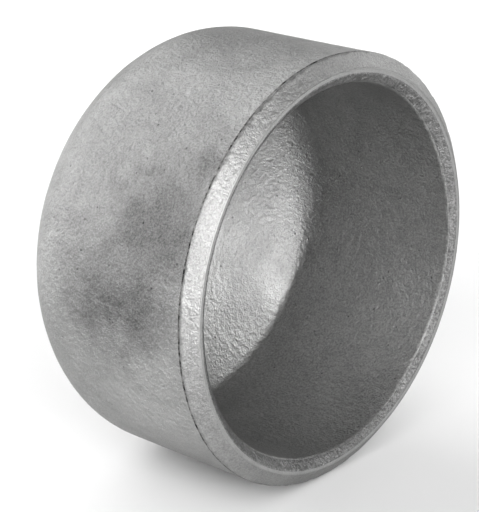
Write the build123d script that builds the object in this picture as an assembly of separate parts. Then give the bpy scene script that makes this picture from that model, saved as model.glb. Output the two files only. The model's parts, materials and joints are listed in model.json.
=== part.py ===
from build123d import *
import os
from math import asin, cos, degrees, radians, sqrt, tan

# Butt-weld pipe cap, NPS 4 (DN 100), in millimetres.
# The cap lies on its side: its axis is the X axis and its mouth faces +X.
# The origin is the centre of the weld plane, where the flat root face meets the pipe.

# Driving dimensions.
outside_diameter = 114.3
overall_length = 76.0
outside_head_depth = 32.5  # the outside of the head is half an ellipsoid
crown_radius = 78.0  # the inside of the head is a shallow spherical crown
knuckle_radius = 4.0  # round between the inside wall and the crown
wall = 7.75  # formed wall at the pole and behind the mouth, thicker than the 5.6 left at the mouth
weld_bore_diameter = 103.1  # opened out at the mouth to meet the pipe's bore
root_face = 1.8  # width of the flat ring between the bevel and the bore
bevel_angle = 37.5  # outside bevel, measured from the weld plane
bore_chamfer_angle = 50.0  # inside chamfer, measured from the axis

# The mouth, worked out from them.
outside_radius = outside_diameter / 2
weld_bore_radius = weld_bore_diameter / 2
root_radius = weld_bore_radius + root_face
inside_radius = outside_radius - wall
bevel_length = (outside_radius - root_radius) * tan(radians(bevel_angle))
chamfer_length = (weld_bore_radius - inside_radius) / tan(radians(bore_chamfer_angle))

# The head, worked out from them. The knuckle's circle touches the inside wall and the crown's circle.
outside_tangent_x = outside_head_depth - overall_length
crown_centre_x = wall - overall_length + crown_radius
knuckle_centre_r = inside_radius - knuckle_radius
between_centres = crown_radius - knuckle_radius
crown_half_angle = degrees(asin(knuckle_centre_r / between_centres))
knuckle_centre_x = crown_centre_x - between_centres * cos(radians(crown_half_angle))


def quarter_ellipse(tangent_x, depth, radius):
    """One side of the head's outline, from the straight wall to the pole.

    A rational curve of degree two is an exact ellipse when its middle weight is sqrt(1/2).
    """
    pole_x = tangent_x - depth
    return Bezier((tangent_x, radius), (pole_x, radius), (pole_x, 0), weights=[1, sqrt(0.5), 1])


def half_section():
    """Cut face of the cap on one side of its axis."""
    outside = quarter_ellipse(outside_tangent_x, outside_head_depth, outside_radius)
    knuckle = CenterArc((knuckle_centre_x, knuckle_centre_r), knuckle_radius, 90, 90 - crown_half_angle)
    crown = CenterArc((crown_centre_x, 0), crown_radius, 180 - crown_half_angle, crown_half_angle)
    mouth = Polyline(
        outside @ 0,
        (-bevel_length, outside_radius),
        (0, root_radius),
        (0, weld_bore_radius),
        (-chamfer_length, inside_radius),
        knuckle @ 0,
    )
    pole = Line(outside @ 1, crown @ 1)
    return make_face(Curve() + [outside, mouth, knuckle, crown, pole])


def cap_body():
    """The whole cap, one formed shell of revolution."""
    return revolve(half_section(), Axis.X, 360)


os.makedirs("parts", exist_ok=True)
export_step(cap_body(), "parts/cap_body.step")
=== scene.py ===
"""Looks of a butt-weld pipe cap of grit-blasted stainless steel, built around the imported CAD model.

All in metres and in the row's frame: the cap's axis is X, its mouth faces +X and the weld plane is x = 0.
"""

import json
from math import asin, ceil, cos, exp, hypot, pi, radians, sin, sqrt, tan

import bpy
import numpy as np
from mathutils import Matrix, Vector, noise


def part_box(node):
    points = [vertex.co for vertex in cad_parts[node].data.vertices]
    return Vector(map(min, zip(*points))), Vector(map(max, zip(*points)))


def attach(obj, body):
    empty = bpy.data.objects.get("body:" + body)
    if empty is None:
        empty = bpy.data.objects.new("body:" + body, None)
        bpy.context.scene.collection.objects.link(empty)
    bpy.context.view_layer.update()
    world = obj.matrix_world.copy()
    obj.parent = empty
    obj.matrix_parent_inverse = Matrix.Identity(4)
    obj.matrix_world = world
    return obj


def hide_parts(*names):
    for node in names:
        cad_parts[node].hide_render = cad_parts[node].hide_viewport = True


MM = 0.001

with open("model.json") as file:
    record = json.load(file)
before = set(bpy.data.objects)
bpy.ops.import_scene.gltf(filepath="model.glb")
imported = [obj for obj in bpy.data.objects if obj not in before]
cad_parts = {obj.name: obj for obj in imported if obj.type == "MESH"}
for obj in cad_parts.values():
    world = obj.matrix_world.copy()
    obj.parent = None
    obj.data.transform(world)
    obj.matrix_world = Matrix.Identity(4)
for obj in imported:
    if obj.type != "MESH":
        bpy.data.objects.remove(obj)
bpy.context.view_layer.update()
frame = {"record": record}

# ------------------------------------------------------------ sizes, worked out from the frame
low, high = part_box("cap_body")
mounts = {m["name"]: m["dims"] for m in frame["record"]["mounts"]}
OUT_R = high.y
LENGTH = -low.x
IN_R = mounts["inside_bore"]["r_mm"] * MM
WALL = OUT_R - IN_R
OUT_DEPTH = 32.5 * MM  # depth of the outside head
OUT_TANGENT_X = OUT_DEPTH - LENGTH
BEVEL_LENGTH = -OUT_TANGENT_X - mounts["outside_wall"]["length_mm"] * MM
BEVEL_ANGLE = radians(37.5)
ROOT_R = OUT_R - BEVEL_LENGTH / tan(BEVEL_ANGLE)
CROWN_R = 78 * MM  # radius of the inside crown
USUAL_KNUCKLE_R = 4 * MM  # the inside knuckle's radius in the CAD model
KNUCKLE_R = 2.6 * MM  # its radius here, on its tightest side
SOFT_KNUCKLE_R = 12 * MM  # its radius here, on its slackest side
CROWN_X = WALL - LENGTH + CROWN_R  # centre of the inside crown


def knuckle(radius):
    """Half angle of the crown and the x of the knuckle's centre, for a knuckle of this radius."""
    angle = asin((IN_R - radius) / (CROWN_R - radius))
    return angle, CROWN_X - (CROWN_R - radius) * cos(angle)


CHAMFER_LENGTH = -knuckle(USUAL_KNUCKLE_R)[1] - mounts["inside_bore"]["length_mm"] * MM
CHAMFER_ANGLE = radians(50)
BORE_R = IN_R + CHAMFER_LENGTH * tan(CHAMFER_ANGLE)
ROOT_ROUND = 0.5 * MM  # round between the bevel and the root face
BORE_ROUND = 0.5 * MM  # round between the root face and the chamfer
WALL_ROUND = 2.2 * MM  # round between the chamfer and the inside wall

# ------------------------------------------------------------ the section
CELL = 0.90 * MM  # usual spacing of the mesh
BEVEL_CELL = 0.5 * MM  # spacing across the bevel
MOUTH_CELL = 0.4 * MM  # spacing across the root face and the chamfer
AROUND = 416  # points in the widest rings
FEWEST = 26  # points in the rings next to the poles
KNUCKLE_STEPS = 9
WALL_ROUND_STEPS = 6
SKIN, BURR, BEVEL, ROOT, CHAMFER, INSIDE, CROWN = range(7)  # zones, numbered as their materials

# Unevenness of each zone: heights in mm of its swells, dents, ripples and grit, whose lengths are WAVES.
WAVES = (36, 11, 3.6, 1.5)
UNEVEN = {
    SKIN: (0.30, 0.10, 0.055, 0.0),
    BURR: (0.30, 0.10, 0.055, 0.0),
    BEVEL: (0.03, 0.02, 0.01, 0.006),
    ROOT: (0.02, 0.01, 0.0, 0.0),
    CHAMFER: (0.10, 0.08, 0.05, 0.03),
    INSIDE: (0.30, 0.08, 0.03, 0.0),
    CROWN: (0.16, 0.06, 0.04, 0.0)}

# The burr line behind the bevel: how far behind the corner and how deep where it is deepest, in millimetres.
BURR_SHAPE = ((0.50, 0.0), (0.38, 0.02), (0.28, 0.10), (0.19, 0.17), (0.10, 0.17), (0.02, 0.10))


class Station:
    """One point of the section, carried round the axis as a ring."""

    def __init__(self, x, r, zone, out_of_round=0.0):
        self.x, self.r, self.zone = x, r, zone
        self.slack = (0.0, 0.0)  # how far it moves where the inside knuckle is slackest
        self.out_of_round = out_of_round  # share of the inside's out-of-round that it takes
        self.groove = 0.0  # depth under the skin where the burr line is deepest
        self.corner = 0.0  # share it takes of the moves of the bevel's outer corner
        self.normal = (0.0, 0.0)
        self.heights = np.array(UNEVEN[zone])


def outside_head():
    """Stations of the ellipsoidal head, from just off its pole to just short of the straight wall."""
    count = round(pi / 2 * sqrt((OUT_DEPTH**2 + OUT_R**2) / 2) / CELL)
    for i in range(1, count):
        t = pi / 2 * i / count
        yield Station(OUT_TANGENT_X - OUT_DEPTH * cos(t), OUT_R * sin(t), SKIN)


def inside_head(knuckle_r, wall_start):
    """Stations of the crown, the knuckle and the inside wall, from just off the pole to wall_start."""
    angle, knuckle_x = knuckle(knuckle_r)
    count = round(CROWN_R * knuckle(KNUCKLE_R)[0] / CELL)
    for i in range(1, count):
        t = angle * i / count
        yield Station(CROWN_X - CROWN_R * cos(t), CROWN_R * sin(t), CROWN, (i / count) ** 2)
    for i in range(KNUCKLE_STEPS):
        t = angle + (pi / 2 - angle) * i / KNUCKLE_STEPS
        yield Station(knuckle_x - knuckle_r * cos(t), IN_R - knuckle_r * (1 - sin(t)), CROWN, 1.0)
    count = round((wall_start - knuckle(KNUCKLE_R)[1]) / CELL)
    for i in range(count):
        yield Station(knuckle_x + (wall_start - knuckle_x) * i / count, IN_R, INSIDE, 1.0)


def inside(wall_start):
    """Stations of the whole inside, each with its move where the knuckle is slackest."""
    stations = list(inside_head(KNUCKLE_R, wall_start))
    for s, slackest in zip(stations, inside_head(SOFT_KNUCKLE_R, wall_start)):
        s.slack = (slackest.x - s.x, slackest.r - s.r)
    return stations


def straight(start, end, zone, step=CELL):
    """Stations along a straight line of the section, both ends included."""
    count = max(2, ceil(hypot(end[0] - start[0], end[1] - start[1]) / step))
    for i in range(count + 1):
        t = i / count
        yield Station(start[0] + (end[0] - start[0]) * t, start[1] + (end[1] - start[1]) * t, zone)


def rounded(before, corner, after, radius, zone, count=4):
    """Stations of a small round at a corner of the section."""
    c = np.array(corner)
    u = (np.array(before) - c) / np.linalg.norm(np.array(before) - c)
    v = (np.array(after) - c) / np.linalg.norm(np.array(after) - c)
    half = np.arccos(u @ v) / 2
    centre = c + (u + v) / np.linalg.norm(u + v) * radius / sin(half)
    start = c + u * radius / tan(half) - centre
    end = c + v * radius / tan(half) - centre
    sweep = pi - 2 * half
    for i in range(count + 1):
        t = sweep * i / count
        x, r = centre + (start * sin(sweep - t) + end * sin(t)) / sin(sweep)
        yield Station(x, r, zone)


def even_out(stations):
    """Lets the unevenness of neighbouring zones run into each other."""
    for _ in range(5):
        heights = [s.heights for s in stations]
        for s, before, here, after in zip(stations[1:], heights, heights[1:], heights[2:]):
            s.heights = (before + 2 * here + after) / 4


def section():
    """All stations, from the outside pole, over the weld end, to the inside pole."""
    tangent_out = (OUT_TANGENT_X, OUT_R)
    bevel_top = (-BEVEL_LENGTH, OUT_R)
    root_edge = (0.0, ROOT_R)
    bore_edge = (0.0, BORE_R)
    wall_edge = (-CHAMFER_LENGTH, IN_R)
    tangent_in = (knuckle(KNUCKLE_R)[1], IN_R)
    burr = [Station(-BEVEL_LENGTH - x * MM, OUT_R, BURR) for x, _ in BURR_SHAPE]
    for s, (_, depth) in zip(burr, BURR_SHAPE):
        s.groove = depth * MM
    root_round = list(rounded(bevel_top, root_edge, bore_edge, ROOT_ROUND, BEVEL))
    bore_round = list(rounded(root_edge, bore_edge, wall_edge, BORE_ROUND, CHAMFER))
    wall_round = list(rounded(bore_edge, wall_edge, tangent_in, WALL_ROUND, CHAMFER, WALL_ROUND_STEPS))
    for s in wall_round[WALL_ROUND_STEPS // 2:]:
        s.zone = INSIDE

    def place(s):
        return s.x, s.r

    bevel = list(straight(bevel_top, place(root_round[0]), BEVEL, BEVEL_CELL))
    for i, s in enumerate(bevel):
        s.corner = 1 - i / (len(bevel) - 1)
    outside = [*outside_head(), *straight(tangent_out, place(burr[0]), SKIN), *burr[1:]]
    root = list(straight(place(root_round[-1]), place(bore_round[0]), ROOT, MOUTH_CELL))
    chamfer = list(straight(place(bore_round[-1]), place(wall_round[0]), CHAMFER, MOUTH_CELL))
    stations = bevel + root_round[1:] + root[:-1] + bore_round + chamfer[1:] + wall_round[1:]
    stations += reversed(inside(wall_round[-1].x))
    even_out(stations)
    stations = outside + stations
    for s in bore_round + chamfer + wall_round:
        s.out_of_round = min(1.0, max(0.0, (BORE_R - s.r) / (BORE_R - IN_R)))
    for before, s, after in zip(stations, stations[1:], stations[2:]):
        dx, dr = after.x - before.x, after.r - before.r
        s.normal = (-dr / hypot(dx, dr), dx / hypot(dx, dr))
    stations[0].normal, stations[-1].normal = (-1.0, 0.0), (1.0, 0.0)
    return stations


# ------------------------------------------------------------ unevenness of the surfaces
SLACKEST = radians(45)  # the angle round the axis where the inside knuckle is slackest
SLACK_FROM, SLACK_SPAN = 0.17, 0.6  # the cosine from there at which slack begins, and how much more is full
FADE = 4 * MM  # how soon the inside wall forgets the shift of the chamfer's edge


def depth_at(point, heights):
    """How deep the surface lies under its ideal shape at a point, in metres."""
    depth = 0.0
    for i, (wave, height) in enumerate(zip(WAVES, heights)):
        depth += height * (0.5 + 0.5 * noise.noise(point / (wave * MM) + Vector((7.3 * i, 0.0, 0.0))))
    return depth * MM


def along_corner(angle, wave):
    """Noise from about -1 to 1 along the bevel's outer corner, wave millimetres long."""
    return noise.noise(Vector((wave, cos(angle), sin(angle))) * (OUT_R / (wave * MM)))


def corner_depth(angle):
    """How far the bevel's outer corner, with its chips, lies under the ideal cylinder, in metres."""
    point = Vector((-BEVEL_LENGTH, OUT_R * cos(angle), OUT_R * sin(angle)))
    ragged = 1.3 * max(0.0, along_corner(angle, 2.4)) + 0.7 * max(0.0, along_corner(angle, 7))
    return depth_at(point, UNEVEN[BURR]) + ragged * MM


def groove_share(angle):
    """How deep the burr line is at an angle, as a share of its greatest depth."""
    return min(1.0, max(0.0, 0.5 + 2.4 * along_corner(angle, 2.1) + 0.9 * along_corner(angle, 9)))


def out_of_round(angle):
    """How far outwards the formed inside wall lies from the turned bore, in metres."""
    return (0.45 * cos(angle + 0.55) + 0.35 * cos(2 * angle + 1.4) + 0.2 * cos(5 * angle + 0.6)) * MM


def slackness(angle):
    """How slack the inside knuckle is at an angle round the axis, from 0 to 1."""
    t = min(1.0, max(0.0, (cos(angle - SLACKEST) - SLACK_FROM) / SLACK_SPAN))
    return t * t * (3 - 2 * t)


def along_axis(station, shift):
    """How far a point moves along the axis so that the chamfer keeps its slope where the bore is shifted."""
    slide = shift / tan(CHAMFER_ANGLE)
    if station.x < -CHAMFER_LENGTH:
        slide *= exp((station.x + CHAMFER_LENGTH) / FADE)
    return slide


def points_round(r):
    """How many points a ring of radius r has: halved towards the poles so that cells stay square."""
    n = AROUND
    while n > FEWEST and 2 * pi * r / (n / 2) <= 1.25 * CELL:
        n //= 2
    return n


def ring(station):
    """The points of one ring, uneven as its zone is."""
    count = points_round(station.r)
    points = []
    for j in range(count):
        angle = 2 * pi * j / count
        shift = out_of_round(angle) * station.out_of_round
        slack = slackness(angle)
        x = station.x + slack * station.slack[0]
        r = station.r + slack * station.slack[1] + shift
        if station.zone in (CHAMFER, INSIDE, CROWN):
            x += along_axis(station, shift)
        if station.corner:
            x += station.corner * corner_depth(angle) * tan(BEVEL_ANGLE)
            r -= station.corner * corner_depth(angle)
        r -= station.groove * groove_share(angle)
        depth = depth_at(Vector((x, r * cos(angle), r * sin(angle))), station.heights)
        x -= depth * station.normal[0]
        r -= depth * station.normal[1]
        points.append((x, r * cos(angle), r * sin(angle)))
    return points


def bridge(a, b):
    """Faces between two neighbouring rings, given as lists of point numbers, b on the mouth's side."""
    n, m = len(a), len(b)
    for j in range(min(n, m)):
        if n == m:
            yield a[j], a[(j + 1) % n], b[(j + 1) % m], b[j]
        elif m > n:
            yield a[j], b[2 * j + 1], b[2 * j]
            yield a[j], a[(j + 1) % n], b[(2 * j + 2) % m], b[2 * j + 1]
        else:
            yield a[2 * j], a[2 * j + 1], b[j]
            yield a[2 * j + 1], a[(2 * j + 2) % n], b[(j + 1) % m], b[j]


def cap_mesh():
    """The whole cap as one closed mesh, with each face's zone as its material number."""
    stations = section()
    points, faces, zones, rings = [], [], [], []
    for s in stations:
        here = ring(s)
        rings.append(range(len(points), len(points) + len(here)))
        points += here
    for s, a, b in zip(stations[1:], rings, rings[1:]):
        new = list(bridge(a, b))
        faces += new
        zones += [s.zone] * len(new)
    for pole_ring, x, zone in ((rings[0], -LENGTH, SKIN), (rings[-1], WALL - LENGTH, CROWN)):
        pole, n = len(points), len(pole_ring)
        depth = depth_at(Vector((x, 0, 0)), UNEVEN[zone])
        points.append((x + depth if zone == SKIN else x - depth, 0.0, 0.0))
        for j in range(n):
            pair = (pole_ring[(j + 1) % n], pole_ring[j])
            faces.append((pole, *pair) if zone == SKIN else (pole, *reversed(pair)))
            zones.append(zone)
    mesh = bpy.data.meshes.new("cap_body_surface")
    mesh.from_pydata(points, [], faces)
    mesh.polygons.foreach_set("material_index", zones)
    mesh.polygons.foreach_set("use_smooth", [True] * len(faces))
    mesh.update()
    return mesh


# ------------------------------------------------------------ materials
class Nodes:
    """Short calls to add nodes to one material."""

    def __init__(self, name):
        self.material = bpy.data.materials.new(name)
        self.material.use_nodes = True
        self.tree = self.material.node_tree
        self.shader = self.tree.nodes["Principled BSDF"]
        self.place = self.add("ShaderNodeTexCoord").outputs["Object"]

    def add(self, kind, **settings):
        node = self.tree.nodes.new(kind)
        for name, value in settings.items():
            setattr(node, name, value)
        return node

    def link(self, source, target):
        self.tree.links.new(source, target)

    def noise(self, size, detail=2.0, roughness=0.5, distortion=0.0, offset=0.0):
        """Noise from 0 to 1 whose features are about size millimetres across."""
        node = self.add("ShaderNodeTexNoise")
        node.inputs["Scale"].default_value = 1 / (size * MM)
        node.inputs["Detail"].default_value = detail
        node.inputs["Roughness"].default_value = roughness
        node.inputs["Distortion"].default_value = distortion
        shift = self.add("ShaderNodeVectorMath", operation="ADD")
        shift.inputs[1].default_value = (offset, offset * 0.7, -offset)
        self.link(self.place, shift.inputs[0])
        self.link(shift.outputs[0], node.inputs["Vector"])
        return node.outputs["Fac"]

    def pits(self, spacing, size):
        """1 inside small round pits about size millimetres wide and spacing apart, 0 elsewhere."""
        node = self.add("ShaderNodeTexVoronoi", feature="F1")
        node.inputs["Scale"].default_value = 1 / (spacing * MM)
        node.inputs["Randomness"].default_value = 1.0
        self.link(self.place, node.inputs["Vector"])
        return self.ramp(node.outputs["Distance"], 0.35 * size / spacing, 0.75 * size / spacing, 1.0, 0.0)

    def ramp(self, value, from_low, from_high, to_low, to_high):
        """A smooth step from one pair of values to another."""
        node = self.add("ShaderNodeMapRange", interpolation_type="SMOOTHSTEP")
        for name, number in (("From Min", from_low), ("From Max", from_high),
                             ("To Min", to_low), ("To Max", to_high)):
            node.inputs[name].default_value = number
        self.link(value, node.inputs["Value"])
        return node.outputs["Result"]

    def spot(self, centre, inner, outer, depth):
        """A ragged round spot: depth inside the inner radius, 0 beyond the outer one, in millimetres.

        The noise that makes it ragged averages a half, so the centre is moved by half of its reach.
        """
        wander = self.add("ShaderNodeTexNoise")
        wander.inputs["Scale"].default_value = 1 / (7 * MM)
        wander.inputs["Detail"].default_value = 3.0
        self.link(self.place, wander.inputs["Vector"])
        shift = self.add("ShaderNodeVectorMath", operation="MULTIPLY_ADD")
        self.link(wander.outputs["Color"], shift.inputs[0])
        shift.inputs[1].default_value = (0.7 * outer * MM,) * 3
        self.link(self.place, shift.inputs[2])
        away = self.add("ShaderNodeVectorMath", operation="DISTANCE")
        self.link(shift.outputs[0], away.inputs[0])
        away.inputs[1].default_value = tuple((c + 0.35 * outer) * MM for c in centre)
        return self.ramp(away.outputs["Value"], inner * MM, outer * MM, depth, 0.0)

    def math(self, operation, a, b):
        node = self.add("ShaderNodeMath", operation=operation)
        for value, socket in ((a, node.inputs[0]), (b, node.inputs[1])):
            if isinstance(value, float):
                socket.default_value = value
            else:
                self.link(value, socket)
        return node.outputs[0]

    def bump(self, height, depth, normal=None, strength=None):
        """Relief of the given depth in millimetres."""
        node = self.add("ShaderNodeBump")
        node.inputs["Strength"].default_value = 1.0
        if strength:
            self.link(strength, node.inputs["Strength"])
        node.inputs["Distance"].default_value = depth * MM
        self.link(height, node.inputs["Height"])
        if normal:
            self.link(normal, node.inputs["Normal"])
        return node.outputs["Normal"]


EDGE_SHEEN = (0.45, 0.45, 0.45, 1.0)  # blasted steel hardly brightens at grazing angles
MOTTLE, PATCH, BLOTCH = 3.4, 17, 26  # sizes of the uneven tones and of the patches of stronger relief, in mm
PIT_SPACING, PIT_SIZE, PIT_DEPTH = 3.6, 0.5, 0.12  # in mm
PIT_PAINTED_SHADE = 0.4  # how much darker a pit is: painted shade in the pits
MOTTLE_TONE = 0.05  # how much lighter or darker the mottle is
ROUGHNESS_SPREAD = 0.03  # how much the roughness varies with the mottle, and again with the grain


def blasted_steel(name, shade, rough, grain, relief, fleck, stain=0.12, pit_share=1.0, spots=()):
    """Grit-blasted steel: grain millimetres between the blast marks, relief millimetres deep.

    fleck and stain are how much the tone varies with the grain and over the blotches.
    """
    n = Nodes(name)
    fine = n.noise(grain, detail=3.0, roughness=0.7)
    coarse = n.noise(grain * 3, detail=2.0, offset=0.3)
    mottle = n.noise(MOTTLE, detail=3.0, roughness=0.6, offset=0.1)
    blotch = n.noise(BLOTCH, detail=3.0, roughness=0.6, distortion=0.6, offset=0.21)
    pits = n.pits(PIT_SPACING, PIT_SIZE)
    patches = n.noise(PATCH, detail=2.0, offset=0.4)
    normal = n.bump(fine, relief, strength=n.ramp(patches, 0.35, 0.6, 0.65, 1.0))
    normal = n.bump(coarse, relief * 1.2, normal)
    normal = n.bump(pits, -PIT_DEPTH * pit_share, normal)
    n.link(normal, n.shader.inputs["Normal"])
    tone = n.math("ADD", n.ramp(blotch, 0.35, 0.65, -stain, stain * 0.4),
                  n.ramp(mottle, 0.3, 0.7, -MOTTLE_TONE, MOTTLE_TONE))
    tone = n.math("ADD", tone, n.ramp(fine, 0.3, 0.7, -fleck, fleck))
    # the pits are darkened: painted shade in them
    tone = n.math("SUBTRACT", tone, n.math("MULTIPLY", pits, PIT_PAINTED_SHADE * pit_share))
    # spots hold stains, and on the skin one patch of painted light
    for centre, inner, outer, depth in spots:
        tone = n.math("SUBTRACT", tone, n.spot(centre, inner, outer, depth))
    colour = n.add("ShaderNodeMix", data_type="RGBA", blend_type="MIX")
    colour.inputs["A"].default_value = (0.0, 0.0, 0.0, 1.0)
    colour.inputs["B"].default_value = tuple(2 * c for c in shade) + (1.0,)
    n.link(n.math("MULTIPLY", n.math("ADD", tone, 1.0), 0.5), colour.inputs["Factor"])
    n.link(colour.outputs["Result"], n.shader.inputs["Base Color"])
    roughness = n.math("ADD", n.ramp(mottle, 0.3, 0.7, rough - ROUGHNESS_SPREAD, rough + ROUGHNESS_SPREAD),
                       n.ramp(fine, 0.3, 0.7, -ROUGHNESS_SPREAD, ROUGHNESS_SPREAD))
    n.link(roughness, n.shader.inputs["Roughness"])
    n.shader.inputs["Metallic"].default_value = 1.0
    n.shader.inputs["Specular Tint"].default_value = EDGE_SHEEN
    return n.material


# Pickling stains on the outside, and one patch of painted light: centre, inner and outer radius in mm, how
# much darker (lighter below 0).
STAINS_AND_PAINTED_LIGHT = (
    ((-17, -56, 2), 4, 15, 0.26),
    ((-36, -55, 1), 3, 15, 0.12),
    ((-26, -57, -5), 4, 20, 0.12),
    ((-22, -56, 11), 6, 28, 0.24),
    ((-13, -52, 23), 5, 22, 0.18),
    ((-11, -46, 33), 5, 26, 0.26),
    # painted light: the lower outside made lighter, as if lit from below
    ((-17, -53, -24), 8, 27, -0.18),
    ((-27, -4, 57), 4, 20, 0.10),
    ((-6, -43, 38), 1, 7, 0.20),
    ((-30, 40, 40), 4, 16, 0.06),
    ((-50, 20, -38), 4, 18, 0.14))

STEEL = (0.395, 0.395, 0.392)
MATERIALS = (
    blasted_steel("steel_blasted_skin", STEEL, 0.38, 0.5, 0.55, 0.17, spots=STAINS_AND_PAINTED_LIGHT),
    # the burr line's dark tone is painted shade of the groove behind the bevel's corner
    blasted_steel("steel_burr_line_painted_shade", (0.19, 0.188, 0.185), 0.55, 1.4, 0.30, 0.9, stain=0.4),
    blasted_steel("steel_ground_bevel", (0.36, 0.36, 0.357), 0.42, 0.48, 0.22, 0.20,
                  stain=0.06, pit_share=0.3),
    blasted_steel("steel_turned_root", (0.41, 0.41, 0.407), 0.40, 0.5, 0.06, 0.12,
                  stain=0.04, pit_share=0.1),
    blasted_steel("steel_rough_chamfer", (0.24, 0.24, 0.238), 0.42, 0.6, 0.50, 0.40),
    # the inside wall is lighter than the skin: painted light on the shaded inside
    blasted_steel("steel_blasted_wall_painted_light", (0.43, 0.43, 0.426), 0.44, 0.55, 0.26, 0.24, stain=0.08),
    blasted_steel("steel_blasted_crown", (0.40, 0.40, 0.397), 0.39, 0.50, 0.28, 0.14, stain=0.08))

cap = bpy.data.objects.new("cap_surface", cap_mesh())
bpy.context.scene.collection.objects.link(cap)
for material in MATERIALS:
    cap.data.materials.append(material)
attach(cap, "root")
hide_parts("cap_body")


# ------------------------------------------------------------ floor, light and camera
FLOOR_HALF = 4.0  # half the side of the floor, in metres
FLOOR_SHADE = (0.92, 0.92, 0.92, 1.0)
AMBIENT = 0.15  # strength of the even light from all round
LIGHT_DISTANCE = 0.8  # from the middle of the cap to each softbox, in metres
# Each softbox: name, azimuth and elevation in degrees, width and height in metres, power in watts.
SOFTBOXES = (
    ("front_high", 24, 38, 0.7, 0.4, 3.4),
    ("key", 72, 8, 0.32, 0.40, 4.5),
    ("right", 106, 16, 0.5, 0.4, 0.9),
    ("back_right", 148, 32, 0.4, 0.4, 0.7),
    ("back", 190, 14, 0.7, 0.4, 2.3),
    ("left_high", 264, 40, 1.1, 0.4, 4.8),
    ("left_low", 283, 5, 0.7, 0.35, 3.5))
VIEW_AZIMUTH, VIEW_ELEVATION = 41.1, 20.0
VIEW_DISTANCE = 8.03 * OUT_R
AIM_UP, AIM_LEFT = 0.085 * OUT_R, 0.447 * OUT_R  # where the camera aims, from the middle of the mouth
LENS = 126.65  # focal length in millimetres


def direction(azimuth, elevation):
    """Unit vector from the cap towards a place given in degrees; azimuth 0 is -Y, 90 is +X."""
    a, e = radians(azimuth), radians(elevation)
    return Vector((sin(a) * cos(e), -cos(a) * cos(e), sin(e)))


def aimed(obj, place, target):
    """Puts an object at a place with its -Z axis towards target and its Y axis up."""
    obj.location = place
    obj.rotation_euler = (target - place).to_track_quat("-Z", "Y").to_euler()
    bpy.context.scene.collection.objects.link(obj)


def softbox(name, azimuth, elevation, width, height, power):
    """A plain rectangular studio light aimed at the cap."""
    lamp = bpy.data.lights.new(name, "AREA")
    lamp.shape = "RECTANGLE"
    lamp.size, lamp.size_y = width, height
    lamp.energy = power
    middle = Vector((-LENGTH / 2, 0, 0))
    aimed(bpy.data.objects.new(name, lamp), middle + direction(azimuth, elevation) * LIGHT_DISTANCE, middle)


def floor():
    """A wide pale floor that the cap lies on."""
    corners = [(x * FLOOR_HALF, y * FLOOR_HALF, -OUT_R) for x, y in ((-1, -1), (1, -1), (1, 1), (-1, 1))]
    mesh = bpy.data.meshes.new("floor")
    mesh.from_pydata(corners, [], [(0, 1, 2, 3)])
    n = Nodes("pale_floor")
    n.shader.inputs["Base Color"].default_value = FLOOR_SHADE
    n.shader.inputs["Roughness"].default_value = 0.9
    mesh.materials.append(n.material)
    obj = bpy.data.objects.new("floor", mesh)
    bpy.context.scene.collection.objects.link(obj)


def studio():
    """Even light from all round and the softboxes."""
    world = bpy.data.worlds.new("studio")
    world.use_nodes = True
    background = world.node_tree.nodes["Background"]
    background.inputs["Color"].default_value = (1.0, 1.0, 1.0, 1.0)
    background.inputs["Strength"].default_value = AMBIENT
    bpy.context.scene.world = world
    for box in SOFTBOXES:
        softbox(*box)
    bpy.context.scene.view_settings.view_transform = "Standard"


def viewpoint():
    """The camera: it looks into the mouth from above and from its left side."""
    back = direction(VIEW_AZIMUTH, VIEW_ELEVATION)
    right = Vector((0, 0, 1)).cross(back).normalized()
    target = back.cross(right) * AIM_UP - right * AIM_LEFT
    lens = bpy.data.cameras.new("camera")
    lens.lens = LENS
    camera = bpy.data.objects.new("camera", lens)
    aimed(camera, target + back * VIEW_DISTANCE, target)
    bpy.context.scene.camera = camera


floor()
studio()
viewpoint()
